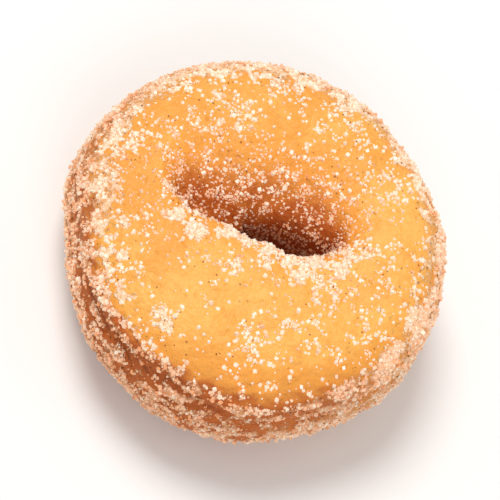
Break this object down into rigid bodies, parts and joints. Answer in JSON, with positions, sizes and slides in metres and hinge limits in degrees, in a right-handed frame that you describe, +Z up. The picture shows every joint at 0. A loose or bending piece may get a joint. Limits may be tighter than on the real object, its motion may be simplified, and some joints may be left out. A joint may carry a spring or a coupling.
{
  "type": "mini doughnut",
  "caption": "Small fried cake-dough ring with a pinched slot-shaped hole and a seam round its side, coated in cinnamon sugar.",
  "frame": {"origin": "under the middle of the ring, in the plane that it rests on", "axes": "+Z up through the face that shows; X along the length of the slot-shaped hole; the hole's mouth slopes most on the +Y side"},
  "size_m": [0.0502, 0.0506, 0.0195],
  "materials": {
    "crust": "golden fried dough, matte with a slight sheen",
    "sugar": "clear white sugar crystals tinted by cinnamon",
    "cinnamon": "dry brown ground spice"
  },
  "bodies": {
    "root": {"doughnut": "crust"}
  },
  "joints": []
}
